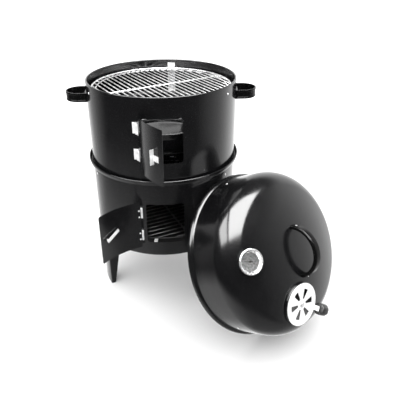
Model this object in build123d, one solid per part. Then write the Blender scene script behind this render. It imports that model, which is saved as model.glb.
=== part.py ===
from build123d import *
import os
from math import asin, atan2, cos, degrees, pi, radians, sin, sqrt

# Vertical water smoker: two stacked barrel sections on three legs, with the lid leaning beside them.
# Millimetres. +Z is up, -Y is the front (the doors), and the origin is on the barrel's axis at floor level.

# ---- driving dimensions -------------------------------------------------------------------------
# barrel sections
barrel_radius = 200.0          # outside of the lower section's wall
wall = 1.2
barrel_bottom = 173.0          # height of the lower section's bottom edge above the floor
seat_height = 389.0            # ledge of the collar that the upper section stands on
collar_top = 400.0
collar_radius = 210.0
barrel_top = 612.0
bottom_bead = 1.5
upper_hem_bead = 3.0
rim_bead = 2.4

# stations round the barrel, in degrees from +X
front = -90.0
bracket_stations = (-155.0, -35.0, 81.5)
leg_station = -158.0
bowl_station = -98.0

# legs
leg_width = 54.0
leg_sheet = 1.5
leg_top = 206.0
leg_flange_top = 41.6          # how far the flanges reach in from the wall's outside
leg_flange_foot = 16.8
leg_bolt_spacing = 26.0
leg_bolt_height = 190.0

# door openings and doors
opening_width = 99.0
opening_height = 115.0
opening_corner = 6.0
lower_opening_bottom = 215.0
upper_opening_bottom = 445.0
door_height = 137.0
door_corner = 4.0
door_sheet = 1.2
door_gap = 0.7                 # between the closed door and the wall
hinge_azimuth = -107.4
hinge_axis_out = 3.6           # hinge axis outside the wall surface
door_reach = 122.5             # hinge axis to the door's free edge, along the wall
upper_door_open = 61.0
lower_door_open = 145.0

# hinges
hinge_height = 28.0
hinge_offset = 34.0            # of each hinge from the door's middle
hinge_leaf = 11.5
hinge_sheet = 0.9
knuckle_radius = 2.9
pin_radius = 1.2
knuckle_gap = 0.3

# door latches
latch_reach = 102.0            # hinge axis to the latch pivot, along the wall
latch_drop = 5.0               # pivot below the door's middle
latch_arm = 36.0
latch_tail = 5.0
latch_width = 9.0
latch_sheet = 1.3
latch_pivot_radius = 2.0
latch_bar_radius = 194.6       # outer face of the inner bar, from the barrel's axis
lever_height = 11.0
lever_base = 9.0               # half of the lever's foot, out to its finger plate
lever_up = 22.0                # finger plate's long end, uppermost when unlatched
lever_down = 15.0
lower_latch_turn = 155.0       # turned this far from the latched position
upper_latch_turn = 180.0

# rivets and screws
rivet_shank = 1.5
rivet_head = 2.7
rivet_head_height = 1.1
rivet_back = 0.8               # its set end
rivet_back_flat = 0.35         # under a door, where it must clear the wall
screw_shank = 2.5
screw_head = 5.0
screw_head_height = 2.6
nut_radius = 4.6
nut_height = 3.6
hollow_seat = 0.06             # a flat head or nut touches a hollow wall at its rim, this far off its middle

# side handles
handle_width = 74.0
handle_reach = 56.0
handle_height = 24.0
handle_strap = 3.4
handle_top = 578.0
handle_screw_spacing = 32.0

# grates
grate_height = 587.0
grate_radius = 187.0
grate_inner_ring = 175.0
grate_ring_wire = 2.2
grate_rod_wire = 1.5
grate_cross_wire = 2.2
grate_rod_pitch = 14.9
grate_turn = 27.6
lower_grate_height = 364.0
charcoal_grate_height = 207.0
charcoal_grate_radius = 175.0
charcoal_rod_pitch = 18.0
charcoal_grate_turn = 112.0

# brackets
bracket_width = 22.0
bracket_sheet = 1.5
bracket_rise = 15.0            # bracket's top above the grate's middle
bracket_drop = 73.0            # lower tab below the grate's middle
bracket_tab = 13.0
bowl_bracket_width = 9.0
bowl_bracket_top = 218.0

# bowls
bowl_sheet = 1.2
bowl_rim_radius = 189.0
water_bowl_depth = 78.0
charcoal_bowl_depth = 42.0

# lid
lid_radius = 211.0             # outside of the rolled edge
lid_bead = 2.0
lid_lip_height = 13.0
lid_skirt_radius = 204.0
lid_skirt_height = 86.0
lid_height = 168.0
lid_knuckle = 59.0
lid_wall = 1.2
lean_azimuth = -48.9           # direction that the lid's crown faces
lean_tilt = 28.2               # of the lid's axis above the horizontal
lean_offset = 309.8            # rim centre from the barrel's axis
lean_bearing = -44.2           # bearing of the rim centre

# lid furniture, placed by its distance and bearing round the lid's own axis
clip_bearing = 100.0
clip_height = 30.0
vent_distance = 126.0
vent_bearing = -108.6
vent_disc_radius = 52.0
vent_boss_rise = 3.0
vent_sheet = 1.2
vent_slots = 6
vent_slot_inner = 14.0
vent_slot_outer = 38.0
vent_slot_angle = 24.0
vent_turn = 10.8              # of the slots, from the side of the disc
vent_knob_bearing = -18.0
vent_knob_radius = 14.5
vent_knob_length = 22.0
thermo_distance = 151.2
thermo_bearing = 164.4
thermo_radius = 29.5
thermo_depth = 12.0
grip_length = 130.0
grip_height = 54.0
grip_width = 18.0
grip_strap = 9.0
grip_bevel = 2.5
grip_bearing = 81.3

# ---- helpers ------------------------------------------------------------------------------------
UP = (Align.CENTER, Align.CENTER, Align.MIN)
DOWN = (Align.CENTER, Align.CENTER, Align.MAX)


def tube(outer, inner, low, high):
    """An upright ring about the barrel's axis."""
    height = high - low
    return Pos(0, 0, low) * (Cylinder(outer, height, align=UP) - Cylinder(inner, height, align=UP))


def radial(azimuth, radius, height):
    """A place on the barrel: local X runs round the wall, local Y up and local Z outwards."""
    a = radians(azimuth)
    origin = (radius * cos(a), radius * sin(a), height)
    return Plane(origin=origin, x_dir=(-sin(a), cos(a), 0), z_dir=(cos(a), sin(a), 0)).location


def slab(x0, x1, y0, y1, z0, z1):
    """A box between two corners."""
    size = (x1 - x0, y1 - y0, z1 - z0)
    return Pos((x0 + x1) / 2, (y0 + y1) / 2, (z0 + z1) / 2) * Box(*size)


def rounded_block(width, height, corner, depth):
    """A plate with rounded corners, in local XY, as thick as depth both ways from its middle."""
    return extrude(RectangleRounded(width, height, corner), amount=depth, both=True)


def fastener(shank, head, head_height, inside, outside, back):
    """A rivet on local Z: its shank between two faces, a domed head outside and a flat one inside."""
    inside -= hollow_seat / 3
    body = Pos(0, 0, inside) * Cylinder(shank, outside - inside, align=UP)
    cap = Pos(0, 0, outside) * Cylinder(head, head_height, align=UP)
    cap = fillet(cap.edges().group_by(Axis.Z)[-1], head_height * 0.75)
    return body + cap + Pos(0, 0, inside) * Cylinder(head * 0.85, back, align=DOWN)


def screw_and_nut(shank, inside, outside, tail):
    """A pan-head screw on local Z with a hexagon nut on the inside."""
    inside -= hollow_seat
    body = Pos(0, 0, inside - nut_height - tail) * Cylinder(shank, outside - inside + nut_height + tail, align=UP)
    head = Pos(0, 0, outside) * Cylinder(screw_head, screw_head_height, align=UP)
    head = fillet(head.edges().group_by(Axis.Z)[-1], screw_head_height * 0.6)
    slot = Pos(0, 0, outside + screw_head_height) * Box(2 * screw_head, 1.1, 1.6)
    nut = Pos(0, 0, inside - nut_height) * extrude(RegularPolygon(nut_radius, 6), amount=nut_height)
    nut = nut - Pos(0, 0, inside - nut_height) * Cylinder(shank, nut_height, align=UP)
    return [body + (head - slot), nut]


def save(name, shape):
    """Write one node; a list is kept as a group of separate solids."""
    if isinstance(shape, (list, tuple)):
        shape = Compound(children=[s for s in shape])
    shape.label = name
    export_step(shape, f"parts/{name}.step")
    return shape


def sector(inner, outer, azimuth, arc_from, arc_to, low, high):
    """Part of an upright ring, from one distance along the wall to another, either side of an azimuth."""
    start = degrees(arc_from / barrel_radius)
    turn = degrees((arc_to - arc_from) / barrel_radius)
    outline = Polyline((inner, 0, low), (outer, 0, low), (outer, 0, high), (inner, 0, high), close=True)
    return Rot(0, 0, azimuth + start) * revolve(make_face(outline), Axis.Z, turn)


def opening_cutter(radius, bottom):
    half_chord = radius * sin(opening_width / 2 / radius)
    place = radial(front, radius, bottom + opening_height / 2)
    return place * rounded_block(2 * half_chord, opening_height, opening_corner, 20)


def along(azimuth, distance, radius=barrel_radius):
    """The azimuth that is a distance round the wall from another one."""
    return azimuth + degrees(distance / radius)


def drill(azimuth, height, radius_of_hole):
    """A short radial drill through the barrel's wall and whatever lies on it."""
    return radial(azimuth, barrel_radius, height) * Cylinder(radius_of_hole, 24)


# ---- hinge geometry shared by both doors --------------------------------------------------------
hinge_radius = barrel_radius + hinge_axis_out
hinge_x = hinge_radius * cos(radians(hinge_azimuth))
hinge_y = hinge_radius * sin(radians(hinge_azimuth))
door_inner = barrel_radius + door_gap
door_outer = door_inner + door_sheet
lower_door_middle = lower_opening_bottom + opening_height / 2 - 2.0
upper_door_middle = upper_opening_bottom + opening_height / 2
leaf_clear = knuckle_radius + 0.5
third = hinge_height / 3
rivet_arc = (leaf_clear + hinge_leaf) / 2


def hinge_heights(middle):
    return [middle - hinge_offset, middle + hinge_offset]


def rivet_heights(middle):
    return [h + side * third for h in hinge_heights(middle) for side in (-1, 1)]


def knuckle(height, length, bore):
    place = Pos(hinge_x, hinge_y, height)
    return place * (Cylinder(knuckle_radius, length) - Cylinder(bore, length))


def fixed_leaf(height):
    """The leaf on the barrel: a plate with a knuckle at each end."""
    low, high = height - hinge_height / 2, height + hinge_height / 2
    inner, outer = barrel_radius, barrel_radius + hinge_sheet
    leaf = sector(inner, outer, hinge_azimuth, -hinge_leaf, -leaf_clear, low, high)
    end = third - knuckle_gap
    for level in (low, high - end):
        leaf += sector(inner, outer, hinge_azimuth, -hinge_leaf, -0.5, level, level + end)
        leaf += knuckle(level + end / 2, end, pin_radius)
    for side in (-1, 1):
        leaf -= drill(along(hinge_azimuth, -rivet_arc), height + side * third, rivet_shank)
    return leaf - Pos(hinge_x, hinge_y, height) * Cylinder(pin_radius, hinge_height + 2)


def door_leaf(height):
    """The leaf on the door: a plate with one knuckle in the middle."""
    low, high = height - hinge_height / 2, height + hinge_height / 2
    inner, outer = door_outer, door_outer + hinge_sheet
    leaf = sector(inner, outer, hinge_azimuth, leaf_clear, hinge_leaf, low, high)
    half = third / 2 - knuckle_gap / 2
    leaf += sector(inner, outer, hinge_azimuth, 0.5, hinge_leaf, height - half, height + half)
    leaf += knuckle(height, 2 * half, pin_radius)
    for side in (-1, 1):
        leaf -= drill(along(hinge_azimuth, rivet_arc), height + side * third, rivet_shank)
    return leaf - Pos(hinge_x, hinge_y, height) * Cylinder(pin_radius + 0.06, hinge_height)


def hinge_pin(height):
    pin = Cylinder(pin_radius, hinge_height)
    head = Cylinder(pin_radius + 0.8, 1.0, align=UP)
    pin = pin + Pos(0, 0, hinge_height / 2) * head + Pos(0, 0, -hinge_height / 2 - 1.0) * head
    return Pos(hinge_x, hinge_y, height) * pin


def hinge_rivets(middle, side):
    """Four rivets: through the barrel's wall on one side of the hinge, through the door on the other."""
    inside, outside, back = -wall, hinge_sheet, rivet_back
    if side > 0:
        inside, outside, back = door_gap, door_gap + door_sheet + hinge_sheet, rivet_back_flat
    place = along(hinge_azimuth, side * rivet_arc)
    make = fastener(rivet_shank, rivet_head, rivet_head_height, inside, outside, back)
    return [radial(place, barrel_radius, h) * make for h in rivet_heights(middle)]


def door_swing(angle):
    """Turns a piece about the hinge axis, opening for a positive angle."""
    return Pos(hinge_x, hinge_y, 0) * Rot(0, 0, -angle) * Pos(-hinge_x, -hinge_y, 0)


# ---- lower section ------------------------------------------------------------------------------
def lower_barrel():
    body = tube(barrel_radius, barrel_radius - wall, barrel_bottom + bottom_bead, seat_height - wall)
    body += Pos(0, 0, barrel_bottom + bottom_bead) * Torus(barrel_radius - bottom_bead, bottom_bead)
    body -= opening_cutter(barrel_radius, lower_opening_bottom)
    for h in rivet_heights(lower_door_middle):
        body -= drill(along(hinge_azimuth, -rivet_arc), h, rivet_shank)
    for k in range(3):
        body -= drill(bracket_stations[k], lower_grate_height + rivet_rise, rivet_shank)
        for side in (-0.5, 0.5):
            place = along(leg_station + 120 * k, side * leg_bolt_spacing)
            body -= drill(place, leg_bolt_height, screw_shank)
    return body


def stacking_collar():
    """A ring round the top of the lower section: a flange, a ledge and a flared lip."""
    r, z, t = barrel_radius, seat_height, wall
    outline = Polyline(
        (r - t, 0, z - t), (r - t, 0, z), (r + 6.4, 0, z), (r + 8.0, 0, z + 2.4),
        (collar_radius - t, 0, collar_top - 1.5), (collar_radius, 0, collar_top - 1.5),
        (r + 9.2, 0, z + 2.0), (r + 7.2, 0, z - t), (r + t, 0, z - 2.8),
        (r + t, 0, z - 12.0), (r, 0, z - 12.0), (r, 0, z - t), close=True)
    ring = revolve(make_face(outline), Axis.Z)
    lip = Pos(0, 0, collar_top - 1.4) * Torus(collar_radius - 1.4, 1.4)
    return ring + lip


leg_inset = 2 * bottom_bead + 0.05   # the legs stand inside the hem


def leg(station):
    """A channel: a curved web inside the barrel's hem, with a flange along each side that narrows to the foot."""
    half = leg_width / 2
    corner = 9.0
    web = Polyline((-half, 0, 0), (half, 0, 0), (half, leg_top - corner, 0), (half - corner, leg_top, 0),
                   (corner - half, leg_top, 0), (-half, leg_top - corner, 0), close=True)
    place = radial(station, barrel_radius, 0)
    outer = barrel_radius - leg_inset
    body = tube(outer, outer - leg_sheet, -1, leg_top + 1)
    body = body & (place * extrude(make_face(web), amount=30, both=True))
    top = barrel_bottom - 1.0
    for side in (-1, 1):
        x = side * half
        start = -leg_inset - 1.4 - (barrel_radius - sqrt(barrel_radius ** 2 - half ** 2))
        outline = Polyline((x, 0, start), (x, 0, -leg_flange_foot), (x, top - 30, -leg_flange_top),
                           (x, top, -leg_flange_top), (x, top, start), close=True)
        body += place * extrude(make_face(outline), amount=leg_sheet, dir=(-side, 0, 0))
    for side in (-0.5, 0.5):
        body -= drill(along(station, side * leg_bolt_spacing), leg_bolt_height, screw_shank)
    return body


def leg_screws():
    make = screw_and_nut(screw_shank, -leg_inset - leg_sheet, 0, 2.0)
    solids = []
    for k in range(3):
        for side in (-0.5, 0.5):
            place = radial(along(leg_station + 120 * k, side * leg_bolt_spacing), barrel_radius, leg_bolt_height)
            solids += [place * piece for piece in make]
    return solids


# ---- brackets, grates and bowls -----------------------------------------------------------------
rivet_rise = 4.5               # bracket rivet above the grate's middle
tab_rise = -grate_ring_wire - 0.2


def grate_bracket(station, grate_level, inner_wall):
    """A strip on the inside of the wall with a lanced tab for a grate and a bent foot for a bowl."""
    half = bracket_width / 2
    top, foot = grate_level + bracket_rise, grate_level - bracket_drop
    strip = sector(inner_wall - bracket_sheet, inner_wall, station, -half, half, foot - bracket_sheet, top)
    place = radial(station, inner_wall, 0)
    shelf = grate_level + tab_rise
    strip += place * slab(-5, 5, shelf - bracket_sheet, shelf, -bracket_tab, -1.0)
    strip += place * slab(-half, half, foot - bracket_sheet, foot, -bracket_tab - 1.5, -1.2)
    return strip - drill(station, grate_level + rivet_rise, rivet_shank)


def bracket_rivets(grate_level, radius):
    make = fastener(rivet_shank, rivet_head, rivet_head_height, -wall - bracket_sheet, 0, rivet_back)
    return [radial(bracket_stations[k], radius, grate_level + rivet_rise) * make for k in range(3)]


def grate(level, radius, pitch, turn, inner_ring):
    """Parallel rods welded across a ring, with a cross rod and sometimes a smaller ring under them."""
    count = int((radius - 6) / pitch)
    wires = []
    for k in range(-count, count + 1):
        half = sqrt(radius ** 2 - (k * pitch) ** 2)
        wires.append(Pos(k * pitch, 0, 0) * Rot(90, 0, 0) * Cylinder(grate_rod_wire, 2 * half))
    wires.append(Pos(0, 0, -1.2) * Rot(0, 90, 0) * Cylinder(grate_cross_wire, 2 * radius - 2))
    if inner_ring:
        wires.append(Pos(0, 0, -2.2) * Torus(inner_ring, grate_rod_wire))
    body = Torus(radius, grate_ring_wire) + wires
    return Pos(0, 0, level) * Rot(0, 0, turn) * body


def bowl(rim_level, mouth, base, depth, corner):
    """A round pan with a flat rim and a rolled edge."""
    t = bowl_sheet
    bottom = rim_level - depth
    outline = Polyline((0, 0, bottom), (base, 0, bottom), (mouth, 0, rim_level), (0, 0, rim_level), close=True)
    hollow = Polyline((0, 0, bottom + t), (base - t * 0.7, 0, bottom + t), (mouth - t, 0, rim_level),
                      (mouth - t, 0, rim_level + 9), (0, 0, rim_level + 9), close=True)
    body = revolve(make_face(outline), Axis.Z)
    body = fillet(body.edges().group_by(Axis.Z)[0], corner)
    inside = revolve(make_face(hollow), Axis.Z)
    inside = fillet(inside.edges().group_by(Axis.Z)[0], corner - t)
    body += tube(bowl_rim_radius - 1.5, mouth - t, rim_level, rim_level + t)
    body += Pos(0, 0, rim_level + 1.5) * Torus(bowl_rim_radius - 1.5, 1.5)
    return body - inside


def bowl_bracket(station):
    """A small angle inside the lower wall that the charcoal bowl's rim rests on."""
    half = bowl_bracket_width / 2
    inner_wall = barrel_radius - wall
    leg_down = sector(inner_wall - 1.5, inner_wall, station, -half, half, bowl_bracket_top - 20, bowl_bracket_top)
    place = radial(station, inner_wall, 0)
    return leg_down + place * slab(-half, half, bowl_bracket_top - 1.5, bowl_bracket_top, -14.0, -1.2)


# ---- upper section ------------------------------------------------------------------------------
def upper_barrel():
    low = seat_height + 0.4
    body = tube(barrel_radius, barrel_radius - wall, low + upper_hem_bead, barrel_top - rim_bead)
    body += Pos(0, 0, low + upper_hem_bead) * Torus(barrel_radius - 0.6 + upper_hem_bead, upper_hem_bead)
    body += Pos(0, 0, barrel_top - rim_bead) * Torus(barrel_radius - rim_bead, rim_bead)
    body -= opening_cutter(barrel_radius, upper_opening_bottom)
    for h in rivet_heights(upper_door_middle):
        body -= drill(along(hinge_azimuth, -rivet_arc), h, rivet_shank)
    for k in range(3):
        body -= drill(bracket_stations[k], grate_height + rivet_rise, rivet_shank)
    for side in (0, 180):
        for offset in (-0.5, 0.5):
            place = along(side, offset * handle_screw_spacing)
            body -= drill(place, handle_top - handle_height / 2, screw_shank)
    return body


def side_handle(azimuth):
    """A closed loop of thick strap, standing out from the wall, with its base strip on the wall."""
    half = handle_width / 2
    straight = barrel_radius + handle_reach - half

    def outline(inset):
        h = half - inset
        block = Rectangle(straight, 2 * h, align=(Align.MIN, Align.CENTER))
        return block + Pos(straight, 0) * Circle(h)

    loop = extrude(outline(0) - outline(handle_strap), amount=handle_height)
    base = Cylinder(barrel_radius + handle_strap, handle_height, align=UP) & slab(
        150, 300, -half, half, 0, handle_height)
    body = (loop + base) - Cylinder(barrel_radius, 3 * handle_height)
    body = body & slab(150, 300, -half, half, 0, handle_height)
    body = Pos(0, 0, handle_top - handle_height) * Rot(0, 0, azimuth) * body
    for offset in (-0.5, 0.5):
        place = along(azimuth, offset * handle_screw_spacing)
        body -= drill(place, handle_top - handle_height / 2, screw_shank)
    return body


def handle_screws():
    make = screw_and_nut(screw_shank, -wall, handle_strap, 1.5)
    solids = []
    for side in (0, 180):
        for offset in (-0.5, 0.5):
            azimuth = along(side, offset * handle_screw_spacing)
            place = radial(azimuth, barrel_radius, handle_top - handle_height / 2)
            solids += [place * piece for piece in make]
    return solids


# ---- doors and latches --------------------------------------------------------------------------
def door(middle):
    low, high = middle - door_height / 2, middle + door_height / 2
    plate = sector(door_inner, door_outer, hinge_azimuth, leaf_clear, door_reach, low, high)
    corners = [e for e in plate.edges() if abs(e.length - door_sheet) < 0.01]
    plate = fillet(corners, door_corner)
    for h in rivet_heights(middle):
        plate -= drill(along(hinge_azimuth, rivet_arc), h, rivet_shank)
    return plate - latch_place(middle) * Cylinder(latch_pivot_radius + 0.05, 20)


def latch_place(middle):
    return radial(along(hinge_azimuth, latch_reach), barrel_radius, middle - latch_drop)


def latch_lever(middle):
    """The outside lever: a small base round the pivot, bent up into a finger plate."""
    base_low = door_outer - barrel_radius + 0.4
    base_high = base_low + latch_sheet
    body = slab(1.0 - lever_base, lever_base, -7.0, 7.0, base_low, base_high)
    edge = lever_base - latch_sheet
    body += slab(edge, lever_base, -lever_up, lever_down, base_low + 0.3, base_low + lever_height)
    return latch_place(middle) * (body - Cylinder(latch_pivot_radius, 40))


def latch_bar(middle, turn):
    """The inside bar, which reaches behind the edge of the opening when it is turned across it."""
    high = latch_bar_radius - barrel_radius
    low = high - latch_sheet
    bar = slab(-latch_tail, latch_arm, -latch_width / 2, latch_width / 2, low, high)
    bar -= Cylinder(latch_pivot_radius, 40)
    bar -= slab(6, latch_arm - 4, -0.8, 0.8, low - 0.1, low + 0.5)
    return latch_place(middle) * Rot(0, 0, turn) * bar


def latch_pivot(middle):
    """The shaft that joins lever and bar through the door, with a riveted end each side."""
    low = latch_bar_radius - barrel_radius - latch_sheet
    high = door_outer - barrel_radius + 0.4 + latch_sheet
    return latch_place(middle) * fastener(latch_pivot_radius, 3.4, 1.2, low, high, 1.0)


# ---- lid ----------------------------------------------------------------------------------------
rise = lid_height - lid_skirt_height
crown_radius = (rise ** 2 - lid_knuckle ** 2 + (lid_skirt_radius - lid_knuckle) ** 2) / 2 / (rise - lid_knuckle)
crown_centre = lid_height - crown_radius
bead_centre = lid_radius - lid_bead
tilt = radians(lean_tilt)
rim_centre_height = bead_centre * cos(tilt) - lid_bead * sin(tilt) + lid_bead
lid_origin = (lean_offset * cos(radians(lean_bearing)), lean_offset * sin(radians(lean_bearing)), rim_centre_height)
lid_axis = (cos(tilt) * cos(radians(lean_azimuth)), cos(tilt) * sin(radians(lean_azimuth)), sin(tilt))
lid_side = (-sin(radians(lean_azimuth)), cos(radians(lean_azimuth)), 0)
leaning = Plane(origin=lid_origin, x_dir=lid_side, z_dir=lid_axis).location


def lid_outline(inset, start):
    """Half of the lid's section: flared lip, skirt, rounded shoulder and crown."""
    skirt = lid_skirt_radius - inset
    lip = lid_radius - 0.8 - inset
    centre_r, centre_z = lid_skirt_radius - lid_knuckle, lid_skirt_height
    knuckle_r, crown_r = lid_knuckle - inset, crown_radius - inset
    lean = atan2(centre_z - crown_centre, centre_r)
    meet = (crown_r * cos(lean), 0, crown_centre + crown_r * sin(lean))
    middle = (centre_r + knuckle_r * cos(lean / 2), 0, centre_z + knuckle_r * sin(lean / 2))
    high = (lean + pi / 2) / 2
    crown_middle = (crown_r * cos(high), 0, crown_centre + crown_r * sin(high))
    top = (0, 0, lid_height - inset)
    path = Polyline((0, 0, start), (lip, 0, start), (lip - 0.4, 0, lid_lip_height - 4.5 - inset / 2),
                    (lip - 3.0, 0, lid_lip_height - 1.0 - inset), (skirt + 0.8, 0, lid_lip_height + 1.0 - inset),
                    (skirt, 0, lid_lip_height + 4.0), (skirt, 0, lid_skirt_height))
    edges = path.edges() + ThreePointArc((skirt, 0, lid_skirt_height), middle, meet).edges()
    edges = edges + ThreePointArc(meet, crown_middle, top).edges() + Line(top, (0, 0, start)).edges()
    return make_face(Wire(edges))


def crown(distance, bearing, proud=0.0):
    """A place on the lid's crown: local Z stands off it and local Y points up to the middle."""
    b, a = radians(bearing), asin(distance / crown_radius)
    normal = (sin(a) * cos(b), sin(a) * sin(b), cos(a))
    reach = crown_radius + proud
    origin = (normal[0] * reach, normal[1] * reach, crown_centre + normal[2] * reach)
    return Plane(origin=origin, x_dir=(-sin(b), cos(b), 0), z_dir=normal).location


vent_place = crown(vent_distance, vent_bearing, vent_boss_rise)
thermo_place = crown(thermo_distance, thermo_bearing, 1.0)
vent_boss_radius = vent_disc_radius + 2.0


def vent_wedges(turn, inner, outer):
    """Six wedge slots round the vent's centre."""
    ring = Circle(outer) - Circle(inner)
    half = radians(vent_slot_angle / 2)
    far = 2 * outer
    solids = None
    for k in range(vent_slots):
        wedge = make_face(Polyline((0, 0), (far * cos(half), far * sin(half)), (far * cos(half), -far * sin(half)),
                                   close=True))
        slot = Rot(0, 0, turn + 360 / vent_slots * k) * extrude(wedge & ring, amount=10, both=True)
        solids = slot if solids is None else solids + slot
    return solids


def lid_shell():
    outer = revolve(lid_outline(0, lid_bead), Axis.Z)
    inner = revolve(lid_outline(lid_wall, -5), Axis.Z)
    boss = vent_place * Cylinder(vent_boss_radius, 30, align=DOWN)
    boss_inside = vent_place * Pos(0, 0, -lid_wall) * Cylinder(vent_boss_radius - lid_wall, 60, align=DOWN)
    body = (outer + boss) - inner - boss_inside
    body += Pos(0, 0, lid_bead) * Torus(bead_centre, lid_bead)
    body -= vent_place * vent_wedges(vent_turn, vent_slot_inner, vent_slot_outer - 1.5)
    body -= vent_place * Cylinder(vent_pivot_radius, 20)
    body -= thermo_place * Cylinder(thermo_stud_radius + 0.1, 30)
    for side in (-1, 1):
        body -= grip_place * Pos(side * grip_screw_x, 0, lid_height) * Cylinder(screw_shank, 60)
    for k in range(3):
        body -= lid_wall_place(clip_bearing + 120 * k, clip_rivet_height) * Cylinder(rivet_shank, 20)
    return body


clip_rivet_height = clip_height + 12.0


def lid_wall_place(bearing, height):
    b = radians(bearing)
    origin = (lid_skirt_radius * cos(b), lid_skirt_radius * sin(b), height)
    return Plane(origin=origin, x_dir=(-sin(b), cos(b), 0), z_dir=(cos(b), sin(b), 0)).location


def rest_clip(bearing):
    """An angle inside the skirt that lands on the barrel's rim when the lid is on."""
    inner = lid_skirt_radius - lid_wall
    upright = sector(inner - 1.5, inner, bearing, -7, 7, clip_height, clip_height + 20)
    upright += lid_wall_place(bearing, 0) * slab(-7, 7, clip_height, clip_height + 1.5, -17, -lid_wall - 1.2)
    return upright - lid_wall_place(bearing, clip_rivet_height) * Cylinder(rivet_shank, 20)


def clip_rivets():
    make = fastener(rivet_shank, rivet_head, rivet_head_height, -lid_wall - 1.5, 0, rivet_back)
    return [lid_wall_place(clip_bearing + 120 * k, clip_rivet_height) * make for k in range(3)]


# lid handle
grip_place = Rot(0, 0, grip_bearing)
grip_screw_x = (grip_length - grip_strap) / 2


def lid_grip():
    """A half ring that stands on the crown, with the edges of its outside bevelled."""
    half = grip_length / 2
    bow = Rot(90, 0, 0) * extrude(Circle(half) - Circle(half - grip_strap), amount=grip_width / 2, both=True)
    rims = [e for e in bow.edges().filter_by(GeomType.CIRCLE) if abs(e.radius - half) < 0.01]
    bow = Pos(0, 0, lid_height + grip_height - half) * chamfer(rims, grip_bevel)
    bow = bow - Rot(0, 0, -grip_bearing) * revolve(lid_outline(0, lid_bead), Axis.Z)
    for side in (-1, 1):
        bow -= Pos(side * grip_screw_x, 0, lid_height - 20) * Cylinder(screw_shank, 32, align=UP)
    return grip_place * bow


def grip_screws():
    """Two screws from inside the crown up into the handle's feet."""
    drop = crown_radius - sqrt(crown_radius ** 2 - grip_screw_x ** 2)
    under = lid_height - drop - lid_wall - 0.55
    body = Pos(0, 0, under) * Cylinder(screw_shank, lid_height + 10 - under, align=UP)
    body += Pos(0, 0, under) * Cylinder(screw_head, screw_head_height, align=DOWN)
    return [grip_place * Pos(side * grip_screw_x, 0, 0) * body for side in (-1, 1)]


# vent damper
vent_pivot_radius = 2.6
vent_gap = 0.35


def vent_disc():
    disc = Pos(0, 0, vent_gap) * Cylinder(vent_disc_radius, vent_sheet, align=UP)
    rim = Cylinder(vent_disc_radius, vent_sheet + 0.9, align=UP) - Cylinder(vent_disc_radius - 5, 9, align=UP)
    disc += Pos(0, 0, vent_gap) * rim
    disc -= vent_wedges(vent_turn, vent_slot_inner, vent_slot_outer)
    return vent_place * (disc - Cylinder(vent_pivot_radius + 0.06, 20))


def vent_pivot():
    low, high = -lid_wall, vent_gap + vent_sheet + 0.3
    rivet = Pos(0, 0, low) * Cylinder(vent_pivot_radius, high - low, align=UP)
    cap = Pos(0, 0, high) * Cylinder(7.0, 2.6, align=UP)
    cap = fillet(cap.edges().group_by(Axis.Z)[-1], 2.4)
    washer = Pos(0, 0, low) * Cylinder(6.0, 1.2, align=DOWN)
    return vent_place * (rivet + cap + washer)


def knob_place():
    return vent_place * Rot(0, 0, vent_knob_bearing) * Pos(vent_disc_radius, 0, vent_gap + vent_sheet + 0.9)


def vent_arm():
    """The strip that carries the knob: welded on the disc's edge and cranked outwards."""
    strip = slab(-9, 3, -6, 6, 0.0, 1.4)
    strip += slab(1.6, 3.0, -6, 6, 0.0, 12.0)
    pin = Pos(1.6, 0, 8.5) * Rot(0, 90, 0) * Cylinder(2.2, 15, align=UP)
    return knob_place() * (strip + pin)


def vent_knob():
    """A heat-proof knob on the arm's pin."""
    knob = Rot(0, 90, 0) * Cylinder(vent_knob_radius, vent_knob_length, align=UP)
    knob = fillet(knob.edges().filter_by(GeomType.CIRCLE), 1.2)
    knob = knob - Rot(0, 90, 0) * Cylinder(2.2, 10.6, align=UP)
    return knob_place() * Pos(6.0, 0, 8.5) * knob


# thermometer
thermo_stud_radius = 4.0
thermo_case_radius = thermo_radius - 3.3
thermo_window = thermo_radius - 8.1   # the dial's visible radius, at the foot of the bezel's cone


def thermo_case():
    case = Cylinder(thermo_case_radius, thermo_depth - 3.0, align=UP)
    case = fillet(case.edges().group_by(Axis.Z)[0], 2.0)
    case -= Pos(0, 0, 1.6) * Cylinder(thermo_case_radius - 1.2, thermo_depth, align=UP)
    return thermo_place * (case - Cylinder(thermo_stud_radius + 0.02, 20))


def thermo_bezel():
    """A rolled rim with a cone inside it that runs down to the dial."""
    r, z = thermo_radius, thermo_depth
    outline = Polyline((r - 3.5, 0, z), (r - 0.8, 0, z), (r, 0, z - 0.8), (r, 0, z - 3.0), (r - 4.6, 0, z - 3.0),
                       (thermo_window + 0.5, 0, z - 7.8), (thermo_window, 0, z - 7.8), close=True)
    return thermo_place * revolve(make_face(outline), Axis.Z)


def thermo_dial():
    plate = Pos(0, 0, 2.4) * Cylinder(thermo_case_radius - 1.5, 0.8, align=UP)
    return thermo_place * (plate - Cylinder(1.06, 20))


def thermo_needle():
    hub = Pos(0, 0, 1.8) * Cylinder(1.0, 3.0, align=UP)
    hub += Pos(0, 0, 3.9) * Cylinder(2.2, 1.3, align=UP)
    blade = Polyline((-7, -1.2, 0), (-7, 1.2, 0), (18, 0.35, 0), (18, -0.35, 0), close=True)
    blade = Pos(0, 0, 4.1) * extrude(make_face(blade), amount=0.6)
    return thermo_place * Rot(0, 0, thermo_needle_turn) * (hub + blade)


def thermo_lens():
    return thermo_place * Pos(0, 0, thermo_depth - 6.6) * Cylinder(thermo_window + 0.6, 1.2, align=UP)


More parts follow.
